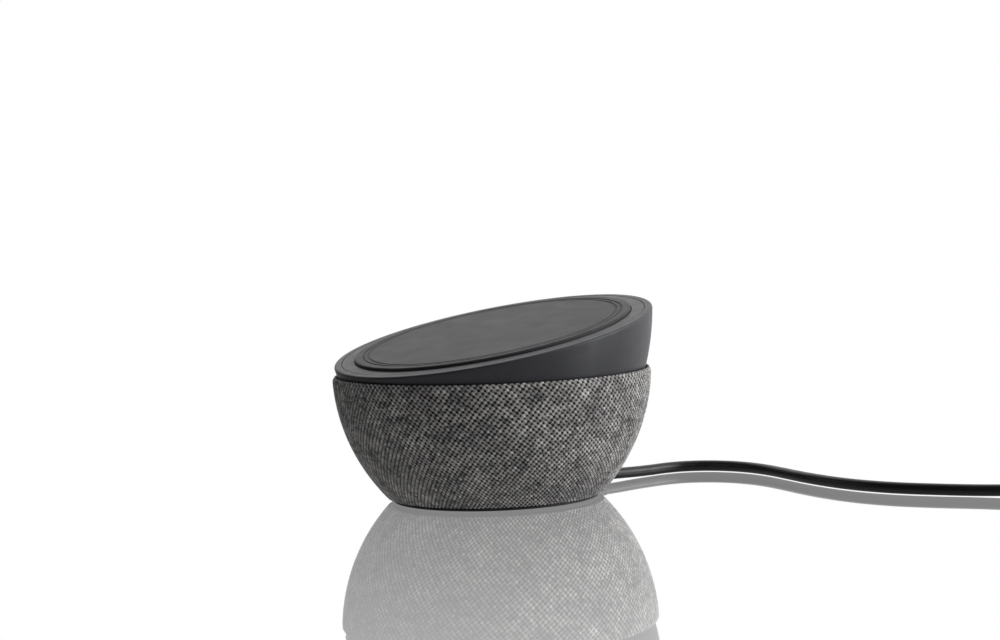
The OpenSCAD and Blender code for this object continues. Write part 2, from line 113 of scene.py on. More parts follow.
def wound(steps=48):
    """The coil's turns: each keeps its radius for two thirds and then moves to the next."""
    line = []
    for turn in range(len(coil_radii) - 1):
        for i in range(steps):
            part = eased(3 * i / steps - 2)
            radius = coil_radii[turn] + (coil_radii[turn + 1] - coil_radii[turn]) * part
            height = coil_heights[turn] + (coil_heights[turn + 1] - coil_heights[turn]) * part
            if coil_heights[turn] != coil_heights[turn + 1]:
                radius -= 1.7 * math.sin(math.pi * max(0, 3 * i / steps - 2))
            angle = coil_start + 2 * math.pi * (turn + i / steps)
            line.append(coil_centre + Vector((radius * math.cos(angle), radius * math.sin(angle), height)))
    return line[1:]


cord_line = [p * mm for p in through(cord_route, 6) + wound() + through(tail_route, 6)]
cord_curve = bpy.data.curves.new("power_cord", "CURVE")
cord_curve.dimensions = "3D"
cord_curve.bevel_depth = cord_d / 2
cord_curve.bevel_resolution = 4
cord_curve.use_fill_caps = True
cord_spline = cord_curve.splines.new("POLY")
cord_spline.points.add(len(cord_line) - 1)
for point, place in zip(cord_spline.points, cord_line):
    point.co = (*place, 1)
cord_spline.use_smooth = True


def plug_in(tree, socket, value):
    if isinstance(value, bpy.types.NodeSocket):
        tree.links.new(value, socket)
    elif value is not None:
        socket.default_value = value


def node(tree, kind, *values, **settings):
    """A node with its settings made and its inputs, in order, set or linked."""
    made = tree.nodes.new(kind)
    for name, value in settings.items():
        setattr(made, name, value)
    for socket, value in zip([s for s in made.inputs if s.enabled], values):
        plug_in(tree, socket, value)
    return made


def calc(tree, operation, *values):
    kind = "ShaderNodeMath"
    return node(tree, kind, *values, operation=operation).outputs[0]


def noise(tree, place, scale, detail=3.0, roughness=0.55):
    made = node(tree, "ShaderNodeTexNoise", place)
    made.inputs["Scale"].default_value = scale
    made.inputs["Detail"].default_value = detail
    made.inputs["Roughness"].default_value = roughness
    return made.outputs["Fac"]


def between(tree, factor, low, high):
    """A number that follows a 0.3 to 0.7 factor from low to high."""
    made = node(tree, "ShaderNodeMapRange", factor, 0.3, 0.7, low, high)
    return made.outputs[0]


def shades(tree, factor, *stops):
    """A colour ramp through (position, colour) stops."""
    ramp = node(tree, "ShaderNodeValToRGB", factor)
    marks = ramp.color_ramp.elements
    while len(marks) < len(stops):
        marks.new(0.5)
    for mark, (position, colour) in zip(marks, stops):
        mark.position = position
        mark.color = (*colour, 1)
    return ramp.outputs[0]


def bump(tree, height, depth, under=None):
    made = node(tree, "ShaderNodeBump")
    made.inputs["Strength"].default_value = 1
    made.inputs["Distance"].default_value = depth
    tree.links.new(height, made.inputs["Height"])
    if under is not None:
        tree.links.new(under, made.inputs["Normal"])
    return made.outputs[0]


def finish(name, roughness=0.5, metallic=0.0, **constants):
    """A material, its node tree, its shader and the object coordinates it reads."""
    material = bpy.data.materials.new(name)
    material.use_nodes = True
    tree = material.node_tree
    shader = tree.nodes["Principled BSDF"]
    shader.inputs["Roughness"].default_value = roughness
    shader.inputs["Metallic"].default_value = metallic
    for key, value in constants.items():
        shader.inputs[key.replace("_", " ").title().replace("Ior", "IOR")].default_value = value
    place = tree.nodes.new("ShaderNodeTexCoord").outputs["Object"]
    return material, tree, shader, place


def lighter(colour, share):
    return tuple(min(1, c * share) for c in colour)


def moulded(name, colour, rough, grain, depth, mottle=0.12, **constants):
    """A moulded plastic or rubber: a fine even grain, a faint mottle, and rubbed patches."""
    material, tree, shader, place = finish(name, **constants)
    cloud = noise(tree, place, 90, 4)
    colours = shades(tree, cloud, (0.3, lighter(colour, 1 - mottle)), (0.7, lighter(colour, 1 + mottle)))
    plug_in(tree, shader.inputs["Base Color"], colours)
    rubbed = between(tree, noise(tree, place, 260, 3), rough - 0.05, rough + 0.05)
    plug_in(tree, shader.inputs["Roughness"], rubbed)
    wide = bump(tree, noise(tree, place, 140, 2), depth * 3)
    plug_in(tree, shader.inputs["Normal"], bump(tree, noise(tree, place, 1 / grain, 2), depth, wide))
    return material


def solid_piece(name, shape, material, body, slot, *stands_for, sharp=38):
    """A finished mesh: smooth but for its sharp edges, with its material, riding on its body."""
    for face in shape.polygons:
        face.use_smooth = True
    shape.set_sharp_from_angle(angle=math.radians(sharp))
    shape.materials.clear()
    shape.materials.append(material)
    piece = bpy.data.objects.new(name, shape)
    bpy.context.scene.collection.objects.link(piece)
    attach(piece, body)
    if stands_for:
        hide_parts(*stands_for)
    return piece


jacket = moulded("cord_jacket_elastomer", jacket_black, 0.34, 0.35 * mm, 0.008 * mm, specular_ior_level=0.5)
cord = bpy.data.objects.new("power_cord", cord_curve)
bpy.context.scene.collection.objects.link(cord)
cord_curve.materials.append(jacket)
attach(cord, "base")
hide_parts("cord", "cord_coil", "cord_tail")


# ------------------------------------------------------------- strain relief
# The rubber sleeve moulded onto the cord: a slim flat collar that passes under the
# bowl's edge, then a round tapered boot with three grooves that let it bend.
collar_w = 6 * mm
collar_h = 3.9 * mm
boot_y = 33 * mm
boot_end = 39 * mm
exit_z = 2 * mm


def oblong(width, height, radius, corner=6):
    """Points round a rectangle with rounded corners, centred, in the XZ plane."""
    radius = min(radius, width / 2, height / 2)
    ring = []
    for k, (x, z) in enumerate([(1, 1), (-1, 1), (-1, -1), (1, -1)]):
        for i in range(corner + 1):
            a = math.pi / 2 * (k + i / corner)
            across = x * (width / 2 - radius) + radius * math.cos(a)
            ring.append(Vector((across, 0, z * (height / 2 - radius) + radius * math.sin(a))))
    return ring


def lofted(name, rings, closed=False):
    """A closed skin over rings of as many points each, capped unless it closes on itself."""
    made = bmesh.new()
    rows = [[made.verts.new(p) for p in ring] for ring in rings]
    for low, high in zip(rows, rows[1:] + rows[:1] if closed else rows[1:]):
        for i in range(len(low)):
            j = (i + 1) % len(low)
            made.faces.new((low[i], low[j], high[j], high[i]))
    if not closed:
        made.faces.new(rows[0][::-1])
        made.faces.new(rows[-1])
    bmesh.ops.recalc_face_normals(made, faces=made.faces)
    shape = bpy.data.meshes.new(name)
    made.to_mesh(shape)
    made.free()
    return shape


sleeve_rings = []
for y in (23.6, 26.4, 32.6):
    sleeve_rings.append([p + Vector((0, y * mm, exit_z)) for p in oblong(collar_w, collar_h, collar_h / 2)])
for step in range(25):
    along = step / 24
    groove = 0.5 - 0.5 * math.cos(2 * math.pi * min(max((along - 0.12) / 0.72, 0), 1) * 3)
    radius = (1.95 - 0.2 * along) * mm - 0.16 * mm * groove - (0.1 * mm if step == 24 else 0)
    y = boot_y + (boot_end - boot_y) * along
    sleeve_rings.append([p + Vector((0, y, exit_z)) for p in oblong(2 * radius, 2 * radius, radius)])
sleeve = solid_piece(
    "strain_relief", lofted("strain_relief", sleeve_rings), jacket, "base", "cord_jacket", "cord_gland"
)

# ------------------------------------------------------------------------ plug
# A flat USB plug: a ribbed boot and an oblong grip moulded over the cord's end, a
# folded steel shell with two latch windows, and a white tongue with four contacts.
plug_turn = math.radians(-8)
grip_size = (15.6 * mm, 8 * mm, 20 * mm)
plug_boot_l = 8 * mm
plug_place = Matrix.Translation(Vector((140.1, 130.7, 4)) * mm) @ Matrix.Rotation(plug_turn, 4, "Z")
plug_black = moulded("plug_plastic_satin", (0.016, 0.016, 0.018), 0.42, 0.25 * mm, 0.006 * mm)

boot_rings = []
for step in range(33):
    along = step / 32
    groove = 0.5 - 0.5 * math.cos(2 * math.pi * min(max((along - 0.08) / 0.75, 0), 1) * 4)
    radius = (1.98 + 0.88 * along) * mm - 0.3 * mm * groove - (0.12 * mm if step == 0 else 0)
    round_section = oblong(2 * radius, 2 * radius, radius)
    boot_rings.append([p + Vector((0, plug_boot_l * along, 0)) for p in round_section])
boot_mesh = lofted("plug_boot_ribbed", boot_rings)
boot_mesh.transform(plug_place)
plug_boot = solid_piece("plug_boot_ribbed", boot_mesh, plug_black, "base", "plug_plastic", "plug_boot")

grip_rings = []
for step in range(29):
    along = step / 28
    end = min(along, 1 - along) * 28 / 4
    inset = 0.9 * mm * (1 - math.sqrt(1 - (1 - min(end, 1)) ** 2))
    waist = 0.5 * mm * math.exp(-(((along - 0.55) / 0.13) ** 2))
    width, height, length = grip_size
    outline = oblong(width - 2 * inset, height - 2 * inset - waist, 1.9 * mm)
    grip_rings.append([p + Vector((0, plug_boot_l + length * along, 0)) for p in outline])
grip_mesh = lofted("plug_grip_oblong", grip_rings)
grip_mesh.transform(plug_place)
plug_grip = solid_piece("plug_grip_oblong", grip_mesh, plug_black, "base", "plug_plastic", "plug_grip")


def metal(name, colour, rough, streak=900, depth=0.004 * mm, **constants):
    """A metal with fine drawn streaks and slight tarnish."""
    material, tree, shader, place = finish(name, metallic=1, **constants)
    stretched = node(tree, "ShaderNodeMapping", place)
    stretched.inputs["Scale"].default_value = (1, 1, 0.12)
    lines = noise(tree, stretched.outputs[0], streak, 3)
    tarnish = noise(tree, place, 120, 4)
    colours = shades(tree, tarnish, (0.35, lighter(colour, 0.86)), (0.7, lighter(colour, 1.05)))
    plug_in(tree, shader.inputs["Base Color"], colours)
    plug_in(tree, shader.inputs["Roughness"], between(tree, lines, rough - 0.07, rough + 0.07))
    plug_in(tree, shader.inputs["Normal"], bump(tree, lines, depth))
    return material


def dress(material, *names):
    """Gives CAD nodes a finish, in every slot they have."""
    for name in names:
        for place in frame["nodes"][name].material_slots:
            place.material = material


tongue_white = moulded("plug_tongue_nylon", (0.75, 0.75, 0.72), 0.4, 0.3 * mm, 0.004 * mm, 0.04)
dress(metal("plug_nickel", (0.68, 0.68, 0.7), 0.24), "plug_shell")
dress(tongue_white, "plug_tongue")

# ---------------------------------------------------------------------- cord tie
# A soft hook-and-loop strap round the wound coil, drawn tight over the four lower and
# three upper turns.
tie_middle = math.radians(209)
tie_half = math.radians(9)
tie_t = 0.6 * mm
tie_section = [
    (12.6, 0.62), (25.4, 0.62), (25.4, 2.6), (22.5, 6.9), (13.6, 7.0), (12.6, 6.1)
]


def strap_ring(angle, grow):
    """The strap's line round the turns, in the upright plane at an angle of the coil."""
    middle = Vector((18.6, 3.8))
    rounded = []
    corners = [Vector(p) for p in tie_section]
    for before, at, after in zip(corners[-1:] + corners[:-1], corners, corners[1:] + corners[:1]):
        start = at + (before - at).normalized() * min(1.2, (before - at).length / 2.2)
        stop = at + (after - at).normalized() * min(1.2, (after - at).length / 2.2)
        for i in range(6):
            t = i / 5
            rounded.append(start.lerp(at, t).lerp(at.lerp(stop, t), t))
    ring = []
    for p in rounded:
        q = p + (p - middle).normalized() * grow / mm
        spot = coil_centre + Vector((q.x * math.cos(angle), q.x * math.sin(angle), max(q.y, 0.04)))
        ring.append(spot * mm)
    return ring


strap_rings = []
for i in range(9):
    thickness = tie_t - (0.12 * mm if i in (0, 8) else 0)
    strap_rings.append(strap_ring(tie_middle + tie_half * (i / 4 - 1), thickness))
for i in range(8, -1, -1):
    strap_rings.append(strap_ring(tie_middle + tie_half * (i / 4 - 1), 0.03 * mm))
strap_cloth, tree, shader, place = finish("strap_loop_pile", 0.9, sheen_weight=0.4, sheen_roughness=0.4)
pile = noise(tree, place, 3200, 4)
piled = shades(tree, pile, (0.35, (0.012, 0.012, 0.013)), (0.7, (0.05, 0.05, 0.052)))
plug_in(tree, shader.inputs["Base Color"], piled)
plug_in(tree, shader.inputs["Normal"], bump(tree, pile, 0.08 * mm))
strap_mesh = lofted("coil_strap", strap_rings, closed=True)
strap = solid_piece("coil_strap", strap_mesh, strap_cloth, "base", "strap", "cord_tie")

# ------------------------------------------------------------------- foot ring
# A ring of soft rubber under the bowl, so that the pad stays put while the head is
# turned. It is moulded with a rounded edge and one shallow groove in its sole.
foot_in = 19.5 * mm


def turned(name, profile, segments=240):
    """A closed ring of that profile, (radius, height) points, about the upright axis."""
    rings = []
    for radius, height in profile:
        angles = [2 * math.pi * i / segments for i in range(segments)]
        rings.append([Vector((radius * math.cos(a), radius * math.sin(a), height)) for a in angles])
    return lofted(name, rings, closed=True)


def arc(x, z, radius, start, stop, steps=5):
    """Points along an arc in a profile, angles in degrees."""
    angles = [math.radians(start + (stop - start) * i / steps) for i in range(steps + 1)]
    return [(x + radius * math.cos(a), z + radius * math.sin(a)) for a in angles]


foot_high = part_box("foot_ring")[1]
foot_r = foot_high.x
foot_h = foot_high.z
foot_round = 0.3 * mm
foot_mid = (foot_r + foot_in) / 2
foot_profile = (
    arc(foot_in + foot_round, foot_round, foot_round, 180, 270)
    + [(foot_mid - 2.4 * mm, 0), (foot_mid - 2.1 * mm, 0.25 * mm), (foot_mid + 2.1 * mm, 0.25 * mm)]
    + [(foot_mid + 2.4 * mm, 0)]
    + arc(foot_r - foot_round, foot_round, foot_round, 270, 360)
    + arc(foot_r - foot_round, foot_h - foot_round, foot_round, 0, 90)
    + [(foot_in, foot_h)]
)
foot_rubber = moulded("foot_rubber_matt", (0.022, 0.022, 0.024), 0.55, 0.3 * mm, 0.01 * mm)
foot_mesh = turned("foot_ring_rubber", foot_profile)
solid_piece("foot_ring_rubber", foot_mesh, foot_rubber, "base", "foot_rubber", "foot_ring")

# ------------------------------------------------- bottom cover, bowl and weight
# The bowl is a stiff black moulding with three screw columns. A flat cover closes it
# from below and a zinc-plated steel plate lies on the cover, so that the pad is heavy.
shell_plastic = moulded("black_abs", (0.02, 0.02, 0.022), 0.5, 0.28 * mm, 0.008 * mm)
dress(shell_plastic, "bottom_cover", "bowl_shell", "pivot_deck", "turntable")
zinc = metal("zinc_plate", (0.55, 0.56, 0.58), 0.42, 260, 0.01 * mm)
dress(zinc, "ballast_plate")


# ---------------------------------------------------------------- fabric cover
# A woven cover of mixed light and dark grey yarn, pulled over the bowl on the bias, so
# that its yarns run round it in two slanting sets. It is glued, and tucked in behind
# the trim at the top and the foot at the bottom. The weave is made by Geometry Nodes.
cover_low, cover_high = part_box("fabric_cover")
side_arc = 52.6 * mm
side_arc_z = 37.1 * mm
repeats_round = 168
repeats_up = 24
samples = 4
bias = -0.24
yarn_relief = 0.42 * mm
yarn_shape = 0.42
tuck_from = 0.965
tuck_rate = 28.6
side_arc_x = cover_high.x - math.sqrt(side_arc**2 - (cover_high.z - side_arc_z) ** 2)
lean_low = math.asin((cover_low.z - side_arc_z) / side_arc)
lean_high = math.asin((cover_high.z - side_arc_z) / side_arc)


def crossing_heights(tree, u, v, shape):
    """Heights of the two yarn sets of a plain weave, each over and under the other by turns."""
    s = calc(tree, "SINE", calc(tree, "MULTIPLY", calc(tree, "ADD", u, v), math.pi))
    t = calc(tree, "SINE", calc(tree, "MULTIPLY", calc(tree, "SUBTRACT", u, v), math.pi))
    heights = []
    for across, along, half in ((s, t, 0.5), (t, s, -0.5)):
        body = calc(tree, "POWER", calc(tree, "ABSOLUTE", across), shape)
        side = calc(tree, "MULTIPLY", calc(tree, "SIGN", across), along)
        wave = calc(tree, "MULTIPLY_ADD", side, half, 0.5)
        heights.append(calc(tree, "MULTIPLY", body, wave))
    return heights


def weave_tree():
    """Geometry Nodes: a grid rolled up into the bowl's side, raised where a yarn is on top."""
    tree = bpy.data.node_groups.new("woven_bowl_side", "GeometryNodeTree")
    names = {}
    for name, kind in (
        ("Repeats round", "INT"), ("Repeats up", "INT"), ("Samples", "INT"), ("Bias", "FLOAT"),
        ("Arc radius", "FLOAT"), ("Arc centre out", "FLOAT"), ("Arc centre up", "FLOAT"),
        ("Lean at bottom", "FLOAT"), ("Lean at top", "FLOAT"), ("Relief", "FLOAT"),
        ("Yarn shape", "FLOAT"), ("Fuzz", "FLOAT"), ("Tuck", "FLOAT"), ("Fabric", "MATERIAL"),
    ):
        socket = tree.interface.new_socket(name, in_out="INPUT", socket_type=f"NodeSocket{kind.title()}")
        names[name] = socket.identifier
    tree.interface.new_socket("Geometry", in_out="OUTPUT", socket_type="NodeSocketGeometry")
    inputs = tree.nodes.new("NodeGroupInput").outputs
    round_count = calc(tree, "MULTIPLY", inputs["Repeats round"], inputs["Samples"])
    up_count = calc(tree, "MULTIPLY", inputs["Repeats up"], inputs["Samples"])
    posts_round = calc(tree, "ADD", round_count, 1)
    posts_up = calc(tree, "ADD", up_count, 1)
    grid = node(tree, "GeometryNodeMeshGrid", 1.0, 1.0, posts_round, posts_up)
    flat = node(tree, "ShaderNodeSeparateXYZ", node(tree, "GeometryNodeInputPosition").outputs[0])
    across = calc(tree, "ADD", flat.outputs[0], 0.5)
    up = calc(tree, "ADD", flat.outputs[1], 0.5)
    u = calc(tree, "MULTIPLY", across, inputs["Repeats round"])
    v = calc(tree, "MULTIPLY", up, inputs["Repeats up"])
    first, second = crossing_heights(tree, u, v, inputs["Yarn shape"])
    top = calc(tree, "MAXIMUM", first, second)
    place = node(tree, "ShaderNodeCombineXYZ", u, v, 0.0).outputs[0]
    wander = node(tree, "ShaderNodeTexNoise", place, noise_dimensions="3D")
    wander.inputs["Scale"].default_value = 0.9
    uneven = calc(tree, "MULTIPLY", calc(tree, "SUBTRACT", wander.outputs[0], 0.5), inputs["Fuzz"])
    below_crown = calc(tree, "SUBTRACT", calc(tree, "ADD", top, uneven), 1.0)
    raised = calc(tree, "MULTIPLY", below_crown, inputs["Relief"])
    radius = calc(tree, "ADD", inputs["Arc radius"], raised)
    span = calc(tree, "SUBTRACT", inputs["Lean at top"], inputs["Lean at bottom"])
    lean = calc(tree, "MULTIPLY_ADD", span, up, inputs["Lean at bottom"])
    past_edge = calc(tree, "MAXIMUM", calc(tree, "SUBTRACT", up, tuck_from), 0.0)
    turned_in = calc(tree, "POWER", calc(tree, "MULTIPLY", past_edge, tuck_rate), 2)
    tucked = calc(tree, "MULTIPLY", turned_in, inputs["Tuck"])
    shoulder = calc(tree, "SUBTRACT", inputs["Arc centre out"], tucked)
    out = calc(tree, "MULTIPLY_ADD", calc(tree, "COSINE", lean), radius, shoulder)
    high = calc(tree, "MULTIPLY_ADD", calc(tree, "SINE", lean), radius, inputs["Arc centre up"])
    twisted = calc(tree, "MULTIPLY_ADD", v, inputs["Bias"], u)
    angle = calc(tree, "MULTIPLY", calc(tree, "DIVIDE", twisted, inputs["Repeats round"]), 2 * math.pi)
    x = calc(tree, "MULTIPLY", calc(tree, "COSINE", angle), out)
    y = calc(tree, "MULTIPLY", calc(tree, "SINE", angle), out)
    stored = tree.nodes.new("GeometryNodeStoreNamedAttribute")
    stored.data_type = "FLOAT2"
    stored.domain = "CORNER"
    stored.inputs["Name"].default_value = "UVMap"
    tree.links.new(grid.outputs["Mesh"], stored.inputs["Geometry"])
    tree.links.new(place, next(s for s in stored.inputs if s.enabled and s.name == "Value"))
    rolled = node(tree, "GeometryNodeSetPosition")
    tree.links.new(stored.outputs[0], rolled.inputs["Geometry"])
    tree.links.new(node(tree, "ShaderNodeCombineXYZ", x, y, high).outputs[0], rolled.inputs["Position"])
    joined = tree.nodes.new("GeometryNodeMergeByDistance")
    joined.inputs["Distance"].default_value = 0.00001
    tree.links.new(rolled.outputs[0], joined.inputs["Geometry"])
    real = tree.nodes.new("GeometryNodeRealizeInstances")
    tree.links.new(joined.outputs[0], real.inputs["Geometry"])
    covered = tree.nodes.new("GeometryNodeSetMaterial")
    tree.links.new(real.outputs[0], covered.inputs["Geometry"])
    tree.links.new(inputs["Fabric"], covered.inputs["Material"])
    tree.links.new(covered.outputs[0], tree.nodes.new("NodeGroupOutput").inputs[0])
    return tree, names


def grown(name, tree, names, start=None, **values):
    """The plain mesh that a Geometry Nodes tree makes, with those input values, from a start."""
    carrier = bpy.data.objects.new(name, start or bpy.data.meshes.new(name))
    bpy.context.scene.collection.objects.link(carrier)
    growth = carrier.modifiers.new("growth", "NODES")
    growth.node_group = tree
    for key, value in values.items():
        growth[names[key.replace("_", " ").capitalize()]] = value
    carrier.data.update()
    bpy.context.view_layer.update()
    shape = bpy.data.meshes.new_from_object(carrier.evaluated_get(bpy.context.evaluated_depsgraph_get()))
    carrier.modifiers.remove(growth)
    bpy.data.objects.remove(carrier)
    shape.name = name
    return shape


def woven_grey():
    """Yarn of mixed greys with a streaky twist along each yarn. Painted shade darkens each yarn's low flanks,
    so the crowns stay light. The gaps are painted black, partly the black shell seen through them and partly
    painted shade.
    """
    material, tree, shader, place = finish("woven_grey_yarn", 0.85, sheen_weight=0.25, sheen_roughness=0.5)
    uv = tree.nodes.new("ShaderNodeTexCoord").outputs["UV"]
    split = node(tree, "ShaderNodeSeparateXYZ", uv)
    u, v = split.outputs[0], split.outputs[1]
    first, second = crossing_heights(tree, u, v, yarn_shape)
    top = calc(tree, "MAXIMUM", first, second)
    yarns = []
    for sum_or_difference, other in (("ADD", "SUBTRACT"), ("SUBTRACT", "ADD")):
        index = calc(tree, "FLOOR", calc(tree, sum_or_difference, u, v))
        along = calc(tree, other, u, v)
        drawn_out = calc(tree, "MULTIPLY", along, 0.8)
        spot = node(tree, "ShaderNodeCombineXYZ", calc(tree, "MULTIPLY", index, 7.31), drawn_out, 0.0)
        yarns.append(noise(tree, spot.outputs[0], 1.0, 3, 0.7))
    is_first = calc(tree, "GREATER_THAN", first, second)
    picked = node(tree, "ShaderNodeMix", is_first, yarns[1], yarns[0], data_type="FLOAT")
    streaks = calc(tree, "MULTIPLY", picked.outputs[0], 0.7)
    heather = calc(tree, "MULTIPLY_ADD", noise(tree, place, 170, 2), 0.3, streaks)
    fibres = noise(tree, place, 5200, 2)
    mixed = calc(tree, "MULTIPLY_ADD", fibres, 0.16, calc(tree, "MULTIPLY", heather, 0.84))
    light = shades(
        tree, mixed, (0.37, (0.07, 0.068, 0.069)), (0.45, (0.3, 0.29, 0.288)), (0.53, (0.6, 0.58, 0.57)),
        (0.61, (0.95, 0.92, 0.9)),
    )
    reach = []
    for kind in ("ADD", "SUBTRACT"):
        wave = calc(tree, "SINE", calc(tree, "MULTIPLY", calc(tree, kind, u, v), math.pi))
        reach.append(calc(tree, "POWER", wave, 2))
    far = calc(tree, "SQRT", calc(tree, "ADD", reach[0], reach[1]))
    ragged = calc(tree, "MULTIPLY_ADD", calc(tree, "SUBTRACT", noise(tree, uv, 0.8, 2), 0.5), 1.3, far)
    # Painted shade: where the yarns part, the colour goes to black. This is partly the black shell seen
    # through the gaps and partly shade painted into them.
    gap_dark_and_shade = node(tree, "ShaderNodeMapRange", ragged, 0.56, 1.12, 0.0, 1.0, interpolation_type="SMOOTHSTEP")
    # Painted shade: each yarn darkens towards its low flanks, down to a quarter of its colour.
    edge = node(tree, "ShaderNodeMapRange", top, 0.25, 0.8, 0.25, 1.0, interpolation_type="SMOOTHSTEP")
    yarn_share_left_by_shade = calc(tree, "MULTIPLY", gap_dark_and_shade.outputs[0], edge.outputs[0])
    # The yarn colour with that painted shade: black in the gaps and darker on the flanks.
    yarn_with_painted_shade = node(tree, "ShaderNodeMix", yarn_share_left_by_shade, data_type="RGBA")
    yarn_with_painted_shade.inputs[6].default_value = (0.004, 0.004, 0.0045, 1)
    tree.links.new(light, yarn_with_painted_shade.inputs[7])
    plug_in(tree, shader.inputs["Base Color"], yarn_with_painted_shade.outputs[2])
    crowned = bump(tree, top, 0.12 * mm)
    plug_in(tree, shader.inputs["Normal"], bump(tree, fibres, 0.05 * mm, crowned))
    return material


yarn = woven_grey()
tree, names = weave_tree()
cover_mesh = grown(
    "woven_cover", tree, names, repeats_round=repeats_round, repeats_up=repeats_up, samples=samples,
    bias=bias, arc_radius=side_arc, arc_centre_out=side_arc_x, arc_centre_up=side_arc_z,
    lean_at_bottom=lean_low, lean_at_top=lean_high, relief=yarn_relief, yarn_shape=yarn_shape,
    fuzz=0.25, tuck=0.65 * mm, fabric=yarn,
)
cover = solid_piece("woven_cover", cover_mesh, yarn, "base", "fabric", "fabric_cover", sharp=180)

# ------------------------------------------------------------------- trim ring
# A thin satin ring clipped over the top edge of the bowl. It hides the cut edge of the
# cover and makes the thin dark line between the fabric and the head.
trim_low, trim_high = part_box("trim_ring")
trim_t = 0.7 * mm
trim_round = 0.3 * mm
trim_out = trim_high.x
trim_top = trim_high.z - 0.2 * mm
trim_profile = (
    [(trim_out - trim_t, trim_low.z), (trim_out, trim_low.z)]
    + arc(trim_out - trim_round, trim_top - trim_round, trim_round, 0, 90, 6)
    + arc(trim_out - trim_t + trim_round, trim_top - trim_round, trim_round, 90, 180, 6)
)
trim_black = (0.01, 0.01, 0.011)
trim_satin = moulded("trim_satin_black", trim_black, 0.55, 0.4 * mm, 0.004 * mm, specular_ior_level=0.25)
trim_mesh = turned("trim_ring_turned", trim_profile)
solid_piece("trim_ring_turned", trim_mesh, trim_satin, "base", "trim_plastic", "trim_ring")

# --------------------------------------------------------- control board and lead
# A round green board on three posts carries the power parts. The cord's inner end
# rises beside it, and two litz leads go up through the hollow pivot to the coil.
board, tree, shader, place = finish("solder_mask_green", 0.32, coat_weight=0.3)
cells = node(tree, "ShaderNodeTexVoronoi", place, feature="DISTANCE_TO_EDGE", distance="MANHATTAN")
cells.inputs["Scale"].default_value = 420
tracks = shades(tree, cells.outputs["Distance"], (0.06, (0.02, 0.14, 0.06)), (0.1, (0.008, 0.07, 0.03)))
plug_in(tree, shader.inputs["Base Color"], tracks)
plug_in(tree, shader.inputs["Normal"], bump(tree, cells.outputs["Distance"], 0.03 * mm))
dress(board, "control_board")
package_black = moulded("component_epoxy", (0.03, 0.03, 0.032), 0.45, 0.2 * mm, 0.006 * mm)
dress(package_black, "board_parts", "heat_sensor")
dress(jacket, "supply_lead")
litz, tree, shader, place = finish("enamelled_litz", 0.35, metallic=1)
strands = node(tree, "ShaderNodeTexWave", place, wave_type="RINGS", rings_direction="Z")
strands.inputs["Scale"].default_value = 900
strands.inputs["Distortion"].default_value = 3
wire = shades(tree, strands.outputs["Fac"], (0.2, (0.36, 0.13, 0.06)), (0.8, (0.78, 0.36, 0.19)))
plug_in(tree, shader.inputs["Base Color"], wire)
plug_in(tree, shader.inputs["Normal"], bump(tree, strands.outputs["Fac"], 0.05 * mm))
dress(litz, "coil_leads", "charging_coil")

# ----------------------------------------------------------------------- pivot
# The head turns on a steel tube pressed into the leaning deck. A white glide washer
# carries it, a bronze spring washer keeps it firm, and a snap ring holds it down.
bright_steel = metal("bright_steel", (0.6, 0.6, 0.61), 0.25)
dress(bright_steel, "pivot_tube", "retaining_ring", "stop_pin")
bronze = metal("spring_bronze", (0.72, 0.5, 0.22), 0.3)
dress(bronze, "spring_washer")
glide_white = moulded("acetal_white", (0.72, 0.71, 0.67), 0.35, 0.3 * mm, 0.004 * mm, 0.04)
dress(glide_white, "glide_washer", "coil_tray")
ferrite_grey = moulded("ferrite_sheet_grey", (0.06, 0.057, 0.054), 0.6, 0.15 * mm, 0.02 * mm, 0.3)
dress(ferrite_grey, "ferrite_sheet")

# ---------------------------------------------------------------------- screws
# Small plated screws with a domed head and a cross recess. One Geometry Nodes tree
# makes a head and shank and sets one on every point that it is given.
screw_zinc = metal("screw_zinc", (0.5, 0.5, 0.52), 0.34, 700)
pivot = frame["joints"][0]
lean = math.asin(-pivot["axis"][1])
face_w = 10.2 * mm
upright = Matrix.Identity(4)
pivot_frame = Matrix.Translation(pivot["pos_m"]) @ Matrix.Rotation(lean, 4, "X")
face_frame = pivot_frame @ Matrix.Translation((0, 0, face_w)) @ Matrix.Rotation(lean, 4, "X")


